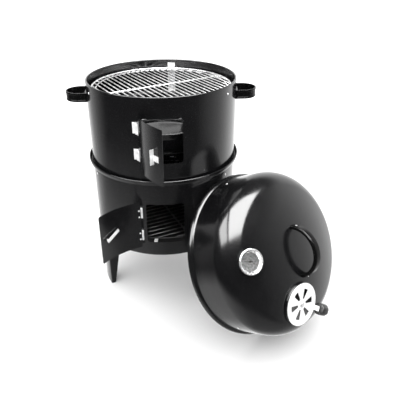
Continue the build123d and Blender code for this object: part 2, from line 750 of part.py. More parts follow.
def thermo_probe():
    """Stud and sensing stem, from the back of the case to inside the lid."""
    stud = Pos(0, 0, 1.6) * Cylinder(thermo_stud_radius, 15.0, align=DOWN)
    stem = Pos(0, 0, -12.0) * Cylinder(1.8, 40.0, align=DOWN)
    tip = Pos(0, 0, -52.0) * Sphere(1.8)
    return thermo_place * (stud + stem + tip)


def thermo_nut():
    nut = Pos(0, 0, -6.3) * extrude(RegularPolygon(8.0, 6), amount=4.0)
    return thermo_place * (nut - Cylinder(thermo_stud_radius, 40))


thermo_needle_turn = 262.0


# ---- write every node ---------------------------------------------------------------------------
def build_lower():
    save("lower_barrel", lower_barrel())
    save("stacking_collar", stacking_collar())
    for k in range(3):
        save(f"leg_{k + 1}", leg(leg_station + 120 * k))
        inner_wall = barrel_radius - wall
        save(f"lower_grate_bracket_{k + 1}",
             grate_bracket(bracket_stations[k], lower_grate_height, inner_wall))
    save("leg_screws", leg_screws())
    save("bowl_brackets", [bowl_bracket(bowl_station + 120 * k) for k in range(3)])
    save("lower_bracket_rivets", bracket_rivets(lower_grate_height, barrel_radius))
    save("lower_grate", grate(lower_grate_height, grate_radius, grate_rod_pitch, 0, grate_inner_ring))
    save("charcoal_bowl", bowl(bowl_bracket_top + 0.2, 182.0, 171.0, charcoal_bowl_depth, 12.0))
    save("charcoal_grate", grate(charcoal_grate_height, charcoal_grate_radius, charcoal_rod_pitch,
                                 charcoal_grate_turn, 0))


def build_upper():
    save("upper_barrel", upper_barrel())
    save("handle_left", side_handle(180))
    save("handle_right", side_handle(0))
    save("handle_screws", handle_screws())
    inner_wall = barrel_radius - wall
    for k in range(3):
        save(f"upper_grate_bracket_{k + 1}", grate_bracket(bracket_stations[k], grate_height, inner_wall))
    save("upper_bracket_rivets", bracket_rivets(grate_height, barrel_radius))
    save("upper_grate", grate(grate_height, grate_radius, grate_rod_pitch, grate_turn, grate_inner_ring))
    save("water_bowl", bowl(grate_height - bracket_drop + 0.2, 178.0, 146.0, water_bowl_depth, 30.0))


def build_door(name, middle, open_angle, latch_turn):
    swing = door_swing(open_angle)
    save(f"{name}_door", swing * door(middle))
    save(f"{name}_hinge_fixed_leaves", [fixed_leaf(h) for h in hinge_heights(middle)])
    save(f"{name}_hinge_door_leaves", [swing * door_leaf(h) for h in hinge_heights(middle)])
    save(f"{name}_hinge_pins", [hinge_pin(h) for h in hinge_heights(middle)])
    save(f"{name}_hinge_wall_rivets", hinge_rivets(middle, -1))
    save(f"{name}_hinge_door_rivets", [swing * r for r in hinge_rivets(middle, 1)])
    save(f"{name}_latch_lever", swing * turn_latch(middle, latch_turn, latch_lever(middle)))
    save(f"{name}_latch_bar", swing * latch_bar(middle, latch_turn))
    save(f"{name}_latch_pivot", swing * latch_pivot(middle))


def turn_latch(middle, turn, piece):
    place = latch_place(middle)
    return place * Rot(0, 0, turn) * place.inverse() * piece


def build_lid():
    save("lid_shell", leaning * lid_shell())
    save("lid_rest_clips", [leaning * rest_clip(clip_bearing + 120 * k) for k in range(3)])
    save("lid_clip_rivets", [leaning * r for r in clip_rivets()])
    save("lid_grip", leaning * lid_grip())
    save("lid_grip_screws", [leaning * s for s in grip_screws()])
    save("vent_disc", leaning * vent_disc())
    save("vent_pivot", leaning * vent_pivot())
    save("vent_arm", leaning * vent_arm())
    save("vent_knob", leaning * vent_knob())
    save("thermometer_case", leaning * thermo_case())
    save("thermometer_bezel", leaning * thermo_bezel())
    save("thermometer_dial", leaning * thermo_dial())
    save("thermometer_needle", leaning * thermo_needle())
    save("thermometer_lens", leaning * thermo_lens())
    save("thermometer_probe", leaning * thermo_probe())
    save("thermometer_nut", leaning * thermo_nut())


os.makedirs("parts", exist_ok=True)
build_lower()
build_upper()
build_door("lower", lower_door_middle, lower_door_open, lower_latch_turn)
build_door("upper", upper_door_middle, upper_door_open, upper_latch_turn)
build_lid()
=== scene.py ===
"""Looks for the vertical water smoker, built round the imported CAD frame.

Lengths in the constants and helpers are millimetres.
"""

from math import asin, atan2, cos, degrees, pi, radians, sin, sqrt

import bmesh
import bpy
import numpy as np
from mathutils import Matrix, Vector
from mathutils.geometry import tessellate_polygon

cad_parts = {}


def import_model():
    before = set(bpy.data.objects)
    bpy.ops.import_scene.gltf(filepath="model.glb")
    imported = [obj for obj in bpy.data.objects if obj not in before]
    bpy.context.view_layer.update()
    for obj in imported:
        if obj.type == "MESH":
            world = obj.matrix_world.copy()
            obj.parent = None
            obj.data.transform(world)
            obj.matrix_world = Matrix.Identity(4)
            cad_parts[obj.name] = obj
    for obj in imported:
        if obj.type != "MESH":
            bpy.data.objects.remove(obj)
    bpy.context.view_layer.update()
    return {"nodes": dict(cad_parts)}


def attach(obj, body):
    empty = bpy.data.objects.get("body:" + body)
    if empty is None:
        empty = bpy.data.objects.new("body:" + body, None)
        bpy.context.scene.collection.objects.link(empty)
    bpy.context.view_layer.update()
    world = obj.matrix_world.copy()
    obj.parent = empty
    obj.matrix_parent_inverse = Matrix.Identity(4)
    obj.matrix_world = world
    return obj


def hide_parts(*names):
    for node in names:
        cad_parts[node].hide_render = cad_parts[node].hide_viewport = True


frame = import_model()
MM = 0.001

# ---- dimensions shared with the CAD part --------------------------------------------------------
WALL = 1.2
BARREL_R = 200.0
BARREL_LOW, SEAT, COLLAR_TOP, COLLAR_R, BARREL_TOP = 173.0, 389.0, 400.0, 210.0, 612.0
HINGE_AZ, HINGE_OUT = -107.4, 3.6
HINGE_R = BARREL_R + HINGE_OUT
HINGE = Vector((HINGE_R * cos(radians(HINGE_AZ)), HINGE_R * sin(radians(HINGE_AZ)), 0.0))
DOOR_IN, DOOR_OUT = BARREL_R + 0.7, BARREL_R + 1.9
DOORS = {
    "lower": {"middle": 270.5, "open": 145.0},
    "upper": {"middle": 502.5, "open": 61.0},
}
DOOR_NEAR, DOOR_REACH, DOOR_HEIGHT, DOOR_CORNER = 3.4, 122.5, 137.0, 4.0
OPENING_W, OPENING_H, OPENING_CORNER = 99.0, 115.0, 7.5
OPENINGS = {"lower": 215.0, "upper": 445.0}
OPENING_CUT = 20.0
FOOT_BEAD, FOOT_CURL = 1.5, 0.9
HEM_R, HEM_CENTRE, HEM_GAP = 2.4, 3.0, 0.4
RIM_R, RIM_INSET = 1.8, 2.4
COLLAR_SHEET = 1.1
LEG_STATION, LEG_W, LEG_SHEET, LEG_INSET, LEG_TOP = -158.0, 54.0, 1.5, 3.05, 206.0
LEG_FLANGE_FOOT, LEG_FLANGE_TOP, LEG_KNEE = 16.8, 41.6, 142.0
LEG_TAB_CORNER, LEG_BEND = 9.0, 2.4
HANDLE_W, HANDLE_REACH, HANDLE_H, HANDLE_T, HANDLE_TOP = 74.0, 56.0, 24.0, 3.4, 578.0
LID_R, LID_H, SKIRT_R, SKIRT_H, KNUCKLE = 211.0, 168.0, 204.0, 86.0, 59.0
LEAN_AZ, LEAN_TILT, LEAN_OFF, LEAN_BEARING = -48.9, 28.2, 309.8, -44.2
VENT_DIST, VENT_BEARING, VENT_R, VENT_RISE = 126.0, -108.6, 52.0, 3.0
SLOT_TURN, SLOT_IN, SLOT_OUT, KNOB_TURN, KNOB_R = 10.8, 14.0, 38.0, -18.0, 14.5
THERMO_DIST, THERMO_BEARING, THERMO_R, THERMO_DEPTH = 151.2, 164.4, 29.5, 12.0
DIAL_R, DIAL_START, DIAL_SWEEP = 21.4, 262.0, 250.0
GRIP_LEN, GRIP_H, GRIP_W, GRIP_T, GRIP_BEVEL, GRIP_BEARING = 130.0, 54.0, 18.0, 9.0, 2.4, 81.3
GRATE_R, GRATE_PITCH, GRATE_RING, RIM_ROD, WIRE_ROD = 187.0, 14.9, 175.0, 2.2, 1.5
BOWL_RIM_R = 187.5
LIP_BEAD, LIP_CURL = 2.0, 1.4
KNOB_START, KNOB_LIFT = 6.0, 10.95
SOFTBOX_Z, SOFTBOX_Y, SOFTBOX_DEPTH = 3200.0, -1300.0, 2900.0
CAMERA_AT = (13.25, -1199.99, 914.94)
CAMERA_YAW, CAMERA_PITCH, CAMERA_ROLL = 3.392, 26.780, -0.217
CAMERA_SENSOR, CAMERA_LENS, CAMERA_SHIFT_X, CAMERA_SHIFT_Y = 36.0, 40.7268, 0.016655, -0.05942

RISE = LID_H - SKIRT_H
# The crown is tangent to the knuckle and passes through the lid's top.
CROWN_R = (RISE ** 2 - KNUCKLE ** 2 + (SKIRT_R - KNUCKLE) ** 2) / 2 / (RISE - KNUCKLE)
CROWN_Z = LID_H - CROWN_R


# ---- places -------------------------------------------------------------------------------------
def frame_at(origin, x_dir, z_dir):
    """A 4x4 placement in millimetres from an origin and two directions."""
    z = Vector(z_dir).normalized()
    x = (Vector(x_dir) - z * Vector(x_dir).dot(z)).normalized()
    y = z.cross(x)
    m = Matrix.Identity(4)
    for column, v in enumerate((x, y, z, Vector(origin))):
        for row in range(3):
            m[row][column] = v[row]
    return m


def radial(azimuth, radius, height):
    a = radians(azimuth)
    return frame_at((radius * cos(a), radius * sin(a), height), (-sin(a), cos(a), 0), (cos(a), sin(a), 0))


def about_z(angle):
    return Matrix.Rotation(radians(angle), 4, "Z")


def shift(x, y, z):
    return Matrix.Translation((x, y, z))


tilt, lean = radians(LEAN_TILT), radians(LEAN_AZ)
LID_AXIS = Vector((cos(tilt) * cos(lean), cos(tilt) * sin(lean), sin(tilt)))
LID_SIDE = Vector((-sin(lean), cos(lean), 0))
bearing = radians(LEAN_BEARING)
# The rolled edge of the lip stands on the floor.
LID_Z = (LID_R - LIP_BEAD) * cos(tilt) - LIP_BEAD * sin(tilt) + LIP_BEAD
LID_AT = Vector((LEAN_OFF * cos(bearing), LEAN_OFF * sin(bearing), LID_Z))
LEANING = frame_at(LID_AT, LID_SIDE, LID_AXIS)


def crown(distance, around, proud=0.0):
    """A place on the lid's crown in the lid's own frame, standing off it along local Z."""
    b, a = radians(around), asin(distance / CROWN_R)
    n = Vector((sin(a) * cos(b), sin(a) * sin(b), cos(a)))
    return frame_at(n * (CROWN_R + proud) + Vector((0, 0, CROWN_Z)), (-sin(b), cos(b), 0), n)


VENT = LEANING @ crown(VENT_DIST, VENT_BEARING, VENT_RISE)
THERMO = LEANING @ crown(THERMO_DIST, THERMO_BEARING, 1.0)


def swing(angle):
    """Opens a piece of a door by an angle about the hinge axis."""
    return Matrix.Translation(HINGE) @ about_z(-angle) @ Matrix.Translation(-HINGE)


# ---- mesh building ------------------------------------------------------------------------------
def rounded(points, radii, steps=5, closed=True):
    """An outline with its corners turned into arcs; radii is one number or one for each point."""
    n = len(points)
    radii = [radii] * n if isinstance(radii, (int, float)) else radii
    out = []
    for i, (p, r) in enumerate(zip(points, radii)):
        p = Vector(p)
        if r <= 0 or (not closed and i in (0, n - 1)):
            out.append(tuple(p))
            continue
        a, b = (Vector(points[i - 1]) - p), (Vector(points[(i + 1) % n]) - p)
        half = a.angle(b) / 2
        reach = min(r / max(sin(half) / max(cos(half), 1e-6), 1e-6), 0.49 * a.length, 0.49 * b.length)
        start, end = p + a.normalized() * reach, p + b.normalized() * reach
        for k in range(steps + 1):
            t = k / steps
            out.append(tuple(start * (1 - t) ** 2 + p * 2 * t * (1 - t) + end * t ** 2))
    return out


def arc(centre, radius, start, end, steps):
    angles = [radians(start + (end - start) * k / steps) for k in range(steps + 1)]
    return [(centre[0] + radius * cos(a), centre[1] + radius * sin(a)) for a in angles]


def sheet(path, thick):
    """The closed outline of a bent sheet whose middle follows an open path."""
    p = np.array(path, float)
    d = np.gradient(p, axis=0)
    d /= np.linalg.norm(d, axis=1)[:, None]
    side = np.stack([d[:, 1], -d[:, 0]], 1) * thick / 2
    both = np.concatenate([p + side, (p - side)[::-1]])
    both[np.concatenate([p, p[::-1]])[:, 0] == 0, 0] = 0.0
    return [tuple(v) for v in both]


def lathe(profile, segments=256):
    """A turned solid about Z from a closed outline of (radius, height)."""
    n = len(profile)
    angles = [2 * pi * k / segments for k in range(segments)]
    verts = [(r * cos(a), r * sin(a), z) for a in angles for r, z in profile]
    faces = []
    for k in range(segments):
        here, there = k * n, (k + 1) % segments * n
        for i in range(n):
            j = (i + 1) % n
            faces.append((here + i, there + i, there + j, here + j))
    return verts, faces


def sweep(places, outline):
    """A solid whose outline (local X, Y) is carried through a list of placements."""
    verts = [place @ Vector((x, y, 0)) for place in places for x, y in outline]
    return verts, tube_faces(len(places), len(outline))


def tube_faces(rings, sides):
    """The faces of a tube with closed ends, through rings of points."""
    faces = []
    for k in range(rings - 1):
        here, there = k * sides, (k + 1) * sides
        for i in range(sides):
            j = (i + 1) % sides
            faces.append((here + i, here + j, there + j, there + i))
    faces.append(tuple(range(sides))[::-1])
    faces.append(tuple((rings - 1) * sides + i for i in range(sides)))
    return faces


def join(*parts):
    verts, faces = [], []
    for v, f in parts:
        base = len(verts)
        verts += [tuple(x) for x in v]
        faces += [tuple(base + i for i in face) for face in f]
    return verts, faces


def moved(part, place):
    return [place @ Vector(v) for v in part[0]], part[1]


def wire(start, end, radius, sides=12):
    """A level round bar with slightly rounded ends."""
    a, b = Vector(start), Vector(end)
    d = (b - a).normalized()
    side = Vector((0, 0, 1)).cross(d).normalized()
    top = d.cross(side)
    verts = []
    stations = [(a, 0.6), (a + d * radius * 0.5, 1.0), (b - d * radius * 0.5, 1.0), (b, 0.6)]
    for p, k in stations:
        for i in range(sides):
            t = 2 * pi * i / sides
            verts.append(p + (side * cos(t) + top * sin(t)) * radius * k)
    return verts, tube_faces(len(stations), sides)


def ring(radius, thick, height, segments=192, sides=12):
    outline = [(radius + thick * cos(2 * pi * i / sides), height + thick * sin(2 * pi * i / sides))
               for i in range(sides)]
    return lathe(outline, segments)


def plate_faces(columns):
    """The faces of a plate of columns of four points each: inner low and high, outer low and high."""
    faces = []
    for k in range(columns - 1):
        a, b = 4 * k, 4 * k + 4
        faces += [(a, a + 1, b + 1, b), (a + 2, b + 2, b + 3, a + 3), (a + 1, a + 3, b + 3, b + 1),
                  (a, b, b + 2, a + 2)]
    last = 4 * columns - 4
    return faces + [(0, 2, 3, 1), (last, last + 1, last + 3, last + 2)]


def prism(outline, low, high):
    """A plate from an outline in local XY."""
    n = len(outline)
    verts = [(x, y, low) for x, y in outline] + [(x, y, high) for x, y in outline]
    faces = [tuple(range(n))[::-1], tuple(range(n, 2 * n))]
    faces += [(i, (i + 1) % n, n + (i + 1) % n, n + i) for i in range(n)]
    return verts, faces


def circle(radius, steps):
    return [(radius * cos(2 * pi * k / steps), radius * sin(2 * pi * k / steps)) for k in range(steps)]


def make(name, part, material, body=None, nodes=(), sharp=35.0):
    """Turns millimetre mesh data into a finished piece that rides on a body."""
    mesh = bpy.data.meshes.new(name)
    mesh.from_pydata([Vector(v) * MM for v in part[0]], [], part[1])
    bm = bmesh.new()
    bm.from_mesh(mesh)
    bmesh.ops.remove_doubles(bm, verts=bm.verts, dist=1e-7)
    bmesh.ops.recalc_face_normals(bm, faces=bm.faces)
    bm.to_mesh(mesh)
    bm.free()
    obj = bpy.data.objects.new(name, mesh)
    bpy.context.collection.objects.link(obj)
    if material:
        mesh.materials.append(material)
    shade(obj, sharp)
    if body:
        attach(obj, body)
    if nodes:
        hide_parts(*nodes)
    return obj


def apply_modifiers(obj):
    graph = bpy.context.evaluated_depsgraph_get()
    old = obj.data
    new = bpy.data.meshes.new_from_object(obj.evaluated_get(graph))
    obj.modifiers.clear()
    obj.data = new
    bpy.data.meshes.remove(old)


def shade(obj, sharp):
    obj.data.polygons.foreach_set("use_smooth", [True] * len(obj.data.polygons))
    obj.data.set_sharp_from_angle(angle=radians(sharp))


def cut(obj, cutters, sharp=35.0):
    """Takes closed pieces out of a mesh."""
    tool = make("cutter", join(*cutters), None)
    mod = obj.modifiers.new("cut", "BOOLEAN")
    mod.operation, mod.object, mod.solver = "DIFFERENCE", tool, "EXACT"
    bpy.context.view_layer.update()
    apply_modifiers(obj)
    bpy.data.objects.remove(tool)
    shade(obj, sharp)


def true_normals(obj, surface):
    """Gives faces that lie on a known surface its exact normals, so that cuts don't show in the gloss."""
    mesh = obj.data
    normals = [Vector(c.vector) for c in mesh.corner_normals]
    for face in mesh.polygons:
        for i in face.loop_indices:
            n = surface(mesh.vertices[mesh.loops[i].vertex_index].co / MM)
            if n is None:
                continue
            d = n.dot(face.normal)
            if abs(d) > 0.97:
                normals[i] = n if d > 0 else -n
    mesh.normals_split_custom_set(normals)


# ---- materials ----------------------------------------------------------------------------------
def link(tree, a, b):
    tree.links.new(a, b)


def noise(tree, coords, scale, detail=3.0, stretch=None):
    if stretch:
        mapping = tree.nodes.new("ShaderNodeMapping")
        mapping.inputs["Scale"].default_value = stretch
        link(tree, coords, mapping.inputs["Vector"])
        coords = mapping.outputs["Vector"]
    n = tree.nodes.new("ShaderNodeTexNoise")
    n.inputs["Scale"].default_value = scale
    n.inputs["Detail"].default_value = detail
    link(tree, coords, n.inputs["Vector"])
    return n.outputs["Fac"]


def span(tree, value, low, high, out_low, out_high):
    n = tree.nodes.new("ShaderNodeMapRange")
    for key, v in (("From Min", low), ("From Max", high), ("To Min", out_low), ("To Max", out_high)):
        n.inputs[key].default_value = v
    link(tree, value, n.inputs["Value"])
    return n.outputs["Result"]


def blend_colour(tree, factor, a, b):
    n = tree.nodes.new("ShaderNodeMix")
    n.data_type = "RGBA"
    link(tree, factor, n.inputs["Factor"])
    for socket, value in ((n.inputs["A"], a), (n.inputs["B"], b)):
        if isinstance(value, bpy.types.NodeSocket):
            link(tree, value, socket)
        else:
            socket.default_value = (*value, 1.0)
    return n.outputs["Result"]


def finish_of(name, dark, light, rough, metallic=0.0, blotch=14.0, grain=420.0, grain_height=0.00001,
              stretch=None, wear=None, dust=0.0, specular=0.5):
    """A surface with uneven tone and gloss, fine grain in its bump, worn edges and a little dust."""
    material = bpy.data.materials.new(name)
    material.use_nodes = True
    tree = material.node_tree
    shader = tree.nodes["Principled BSDF"]
    coords = tree.nodes.new("ShaderNodeTexCoord").outputs["Object"]
    patches = noise(tree, coords, blotch, 5.0)
    colour = blend_colour(tree, span(tree, patches, 0.35, 0.65, 0.0, 1.0), dark, light)
    roughness = span(tree, noise(tree, coords, blotch * 2.3, 4.0, stretch), 0.3, 0.7, rough[0], rough[1])
    if wear:
        edge = tree.nodes.new("ShaderNodeNewGeometry").outputs["Pointiness"]
        edge = span(tree, edge, 0.53, 0.62, 0.0, 1.0)
        broken = tree.nodes.new("ShaderNodeMath")
        broken.operation = "MULTIPLY"
        link(tree, edge, broken.inputs[0])
        link(tree, span(tree, noise(tree, coords, 90.0, 6.0), 0.45, 0.6, 0.0, 0.8), broken.inputs[1])
        colour = blend_colour(tree, broken.outputs["Value"], colour, wear)
    if dust:
        specks = span(tree, noise(tree, coords, 700.0, 2.0), 0.70, 0.74, 0.0, dust)
        colour = blend_colour(tree, specks, colour, (0.35, 0.35, 0.35))
    link(tree, colour, shader.inputs["Base Color"])
    link(tree, roughness, shader.inputs["Roughness"])
    bump = tree.nodes.new("ShaderNodeBump")
    bump.inputs["Strength"].default_value = 1.0
    bump.inputs["Distance"].default_value = grain_height
    link(tree, noise(tree, coords, grain, 2.0, stretch), bump.inputs["Height"])
    link(tree, bump.outputs["Normal"], shader.inputs["Normal"])
    shader.inputs["Metallic"].default_value = metallic
    shader.inputs["Specular IOR Level"].default_value = specular
    return material


PAINT = finish_of("black_paint", (0.0045, 0.0045, 0.005), (0.007, 0.007, 0.0075), (0.14, 0.19), blotch=9.0,
                  grain=330.0, grain_height=0.0000012, dust=0.2)
HANDLE = finish_of("handle_black", (0.003, 0.003, 0.003), (0.005, 0.005, 0.005), (0.16, 0.24), blotch=20.0,
                   grain=500.0, grain_height=0.000002, dust=0.2, specular=0.14)
ENAMEL = finish_of("bowl_enamel", (0.004, 0.004, 0.0045), (0.006, 0.006, 0.0065), (0.06, 0.12), blotch=12.0,
                   grain=160.0, grain_height=0.000004)
SOOTED = finish_of("sooted_enamel", (0.004, 0.004, 0.004), (0.008, 0.008, 0.008), (0.45, 0.6), blotch=12.0,
                   grain=160.0, grain_height=0.000004, specular=0.2)
CHROME = finish_of("chrome_wire", (0.78, 0.78, 0.78), (0.9, 0.9, 0.9), (0.22, 0.32), 0.5, blotch=30.0,
                   grain=900.0, grain_height=0.000001)
# Painted shade: the grates inside the barrel get near-black metal, so they stay as dark as the barrel's shade
# and don't shine with the softbox.
SHADED_WIRE = finish_of("wire_painted_shade", (0.05, 0.05, 0.05), (0.12, 0.12, 0.12), (0.3, 0.45), 0.9, blotch=30.0,
                      grain=900.0, grain_height=0.000002)
PLATED = finish_of("plated_steel", (0.76, 0.76, 0.76), (0.88, 0.88, 0.88), (0.4, 0.5), 0.35, blotch=60.0,
                   grain=700.0, grain_height=0.000002, stretch=(1.0, 1.0, 6.0), wear=(0.9, 0.9, 0.9))
VENT_PLATE = finish_of("vent_plate", (0.82, 0.82, 0.82), (0.9, 0.9, 0.9), (0.38, 0.48), 0.3, blotch=40.0,
                       grain=800.0, grain_height=0.000001, stretch=(5.0, 1.0, 1.0))
BRIGHT = finish_of("steel_bright", (0.8, 0.8, 0.8), (0.9, 0.9, 0.9), (0.22, 0.32), 0.8, blotch=50.0,
                   grain=900.0, grain_height=0.000001)
PLASTIC = finish_of("knob_plastic", (0.008, 0.008, 0.008), (0.014, 0.014, 0.014), (0.36, 0.5), blotch=40.0,
                    grain=900.0, grain_height=0.00001, wear=(0.05, 0.05, 0.05))
DIAL = finish_of("dial_face", (0.2, 0.2, 0.2), (0.5, 0.5, 0.5), (0.35, 0.5), 0.3, blotch=260.0, grain=900.0,
                 grain_height=0.000004)
DIAL_INK = finish_of("dial_ink", (0.01, 0.01, 0.01), (0.02, 0.02, 0.02), (0.5, 0.6), blotch=300.0)
NEEDLE = finish_of("needle_paint", (0.02, 0.02, 0.02), (0.04, 0.03, 0.03), (0.3, 0.4), blotch=300.0)
GLASS = finish_of("lens_glass", (0.95, 0.95, 0.95), (1.0, 1.0, 1.0), (0.01, 0.03), blotch=80.0, grain=200.0,
                  grain_height=0.000002)
GLASS.node_tree.nodes["Principled BSDF"].inputs["Transmission Weight"].default_value = 1.0


# ---- barrel sections ----------------------------------------------------------------------------
def wall_normals(low, high):
    def surface(p):
        return Vector((p.x, p.y, 0)).normalized() if low < p.z < high else None
    return surface


def opening(bottom):
    half = BARREL_R * sin(OPENING_W / 2 / BARREL_R)
    outline = rounded([(-half, 0), (half, 0), (half, OPENING_H), (-half, OPENING_H)], OPENING_CORNER, 6)
    return moved(prism(outline, -OPENING_CUT, OPENING_CUT), radial(-90, BARREL_R, bottom))


def lower_section():
    middle = BARREL_R - WALL / 2
    curl = arc((BARREL_R - FOOT_BEAD, BARREL_LOW + FOOT_BEAD), FOOT_CURL, 150, 360, 18)
    path = curl + [(middle, BARREL_LOW + 8), (middle, SEAT - 30), (middle, SEAT - WALL)]
    wall = make("lower_barrel_shell", lathe(sheet(path, WALL)), PAINT)
    cut(wall, [opening(OPENINGS["lower"])])
    true_normals(wall, wall_normals(BARREL_LOW + 7, SEAT + 1))
    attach(wall, "lower_section")
    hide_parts("lower_barrel")


def stacking_collar():
    """The ring round the seat: a flange on the wall, a ledge and a flared lip with a rolled edge."""
    m = WALL / 2
    path = [(BARREL_R + m, SEAT - 12), (BARREL_R + m, SEAT - 4)]
    path += arc((BARREL_R + 3.1, SEAT - 3.1), 2.5, 180, 90, 6)
    path += [(BARREL_R + 5.2, SEAT - m)]
    path += arc((BARREL_R + 5.2, SEAT + 2.2), 2.8, 270, 330, 5)
    path += [(COLLAR_R - 1.4, COLLAR_TOP - 4.6)]
    path += arc((COLLAR_R - 1.95, COLLAR_TOP - 1.45), 1.2, 0, 190, 12)
    make("collar_ring", lathe(sheet(path, COLLAR_SHEET), 320), PAINT, "lower_section", ["stacking_collar"],
         sharp=50)


def upper_section():
    middle = BARREL_R - WALL / 2
    low = SEAT + HEM_GAP
    hem = arc((BARREL_R + HEM_R, low + HEM_CENTRE), HEM_R, 60, -180, 16)
    rim = arc((BARREL_R - RIM_INSET, BARREL_TOP - RIM_INSET), RIM_R, 0, 240, 16)
    path = hem + [(middle, low + 12), (middle, BARREL_TOP - 30), (middle, BARREL_TOP - 8)] + rim
    wall = make("upper_barrel_shell", lathe(sheet(path, WALL), 320), PAINT)
    cut(wall, [opening(OPENINGS["upper"])])
    true_normals(wall, wall_normals(low + 9, BARREL_TOP - 6))
    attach(wall, "upper_section")
    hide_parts("upper_barrel")


lower_section()
stacking_collar()
upper_section()


# ---- legs ---------------------------------------------------------------------------------------
def leg(number, station):
    """A curved web with two flanges that taper towards the foot, bent from one sheet."""
    place = radial(station, BARREL_R, 0)
    t, half = LEG_SHEET, LEG_W / 2
    outer = BARREL_R - LEG_INSET
    shoulder = BARREL_LOW - 1.0
    columns = 12

    def web(x, radius=outer - t / 2):
        return sqrt(radius ** 2 - x * x) - BARREL_R

    def outline(flange):
        edge = web(half)
        path = [(half - t / 2, -flange), (half - t / 2, edge - 3.0), (half - t / 2 - 0.5, edge - 1.0)]
        xs = np.linspace(half - LEG_BEND, LEG_BEND - half, columns + 1)
        path += [(x, web(x)) for x in xs]
        path += [(-half + t / 2 + 0.5, edge - 1.0), (-half + t / 2, edge - 3.0), (-half + t / 2, -flange)]
        return sheet(path, t)

    def flange_at(z):
        return LEG_FLANGE_FOOT + (LEG_FLANGE_TOP - LEG_FLANGE_FOOT) * min(1.0, z / LEG_KNEE)

    verts, faces, rings = [], [], []
    for z in (0.0, 0.4, 20, 60, 100, LEG_KNEE, 160, shoulder - 0.5, shoulder):
        points = outline(flange_at(z))
        rings.append([len(verts) + i for i in range(len(points))])
        verts += [place @ Vector((x, z, y)) for x, y in points]
    for a, b in zip(rings, rings[1:]):
        n = len(a)
        faces += [(a[i], a[(i + 1) % n], b[(i + 1) % n], b[i]) for i in range(n)]
    faces += [tuple(rings[0]), tuple(rings[-1][::-1])]

    def top(x, corner=LEG_TAB_CORNER):
        d = max(0.0, abs(x) - (half - corner))
        return LEG_TOP - corner + sqrt(max(0.0, corner ** 2 - d * d))

    tab, tab_steps = [], 21
    for x in np.linspace(-half, half, tab_steps):
        for r in (outer - t, outer - 0.02):
            depth = web(x, r)
            tab += [place @ Vector((x, shoulder - 1.0, depth)), place @ Vector((x, top(x), depth))]
    make(f"leg_plate_{number}", join((verts, faces), (tab, plate_faces(tab_steps))), PAINT, "lower_section",
         [f"leg_{number}"], sharp=40)


for k in range(3):
    leg(k + 1, LEG_STATION + 120 * k)


# ---- doors --------------------------------------------------------------------------------------
def curved_plate(near, far, low, high, inner, outer, corner, azimuth):
    """A plate bent to the barrel with rounded corners; distances run along the wall from an azimuth."""
    edge = [corner * (1 - cos(pi / 2 * k / 8)) for k in range(9)]
    us = [near + d for d in edge]
    us += [near + corner + (far - near - 2 * corner) * k / 40 for k in range(1, 40)]
    us += [far - d for d in edge[::-1]]
    verts = []
    for u in us:
        d = min(u - near, far - u)
        drop = corner - sqrt(max(0.0, corner ** 2 - max(0.0, corner - d) ** 2))
        a = radians(azimuth) + u / BARREL_R
        for r in (inner, outer):
            verts += [(r * cos(a), r * sin(a), low + drop), (r * cos(a), r * sin(a), high - drop)]
    return verts, plate_faces(len(us))


def door(name, spec):
    middle = spec["middle"]
    turn = swing(spec["open"])
    half = DOOR_HEIGHT / 2
    plate = curved_plate(DOOR_NEAR, DOOR_REACH, middle - half, middle + half, DOOR_IN, DOOR_OUT, DOOR_CORNER,
                         HINGE_AZ)
    make(f"{name}_door_plate", moved(plate, turn), PAINT, f"{name}_door", [f"{name}_door"])


for name, spec in DOORS.items():
    door(name, spec)


# ---- side handles -------------------------------------------------------------------------------
def strap_section(width, thick):
    """A strap rounded at its edges with a shallow groove along its outer face."""
    w, t = width / 2, thick / 2
    points = [(-w, -t), (w, -t), (w, t), (w - 4.4, t), (w - 5.4, t - 0.7), (-w + 5.4, t - 0.7), (-w + 4.4, t),
              (-w, t)]
    return rounded(points, [1.3, 1.3, 1.3, 0.6, 0.6, 0.6, 0.6, 1.3], 4)


def side_handle(name, azimuth):
    half, reach, thick = HANDLE_W / 2, HANDLE_REACH, HANDLE_T
    middle = HANDLE_TOP - HANDLE_H / 2
    r = half - thick / 2
    centre = BARREL_R + reach - half
    straight = np.linspace(BARREL_R - 2, centre, 7)[:-1]
    points = [(x, -r) for x in straight]
    points += arc((centre, 0.0), r, -90, 90, 32)
    points += [(x, r) for x in straight[::-1]]
    path = [Vector((x, y, middle)) for x, y in points]
    places = []
    for i, p in enumerate(path):
        d = (path[min(i + 1, len(path) - 1)] - path[max(i - 1, 0)]).normalized()
        places.append(frame_at(p, (0, 0, 1), d))
    loop = sweep(places, strap_section(HANDLE_H, thick))
    us = np.linspace(0.1 - half, half - 0.1, 25)
    foot, head = HANDLE_TOP - HANDLE_H + 0.2, HANDLE_TOP - 0.2
    base = []
    for u in us:
        a = u / BARREL_R
        for rr in (BARREL_R + 0.02, BARREL_R + thick):
            base += [(rr * cos(a), rr * sin(a), foot), (rr * cos(a), rr * sin(a), head)]
    part = join(moved(loop, about_z(azimuth)), moved((base, plate_faces(len(us))), about_z(azimuth)))
    make(f"{name}_loop", part, HANDLE, "upper_section", [name], sharp=40)


side_handle("handle_right", 0)
side_handle("handle_left", 180)


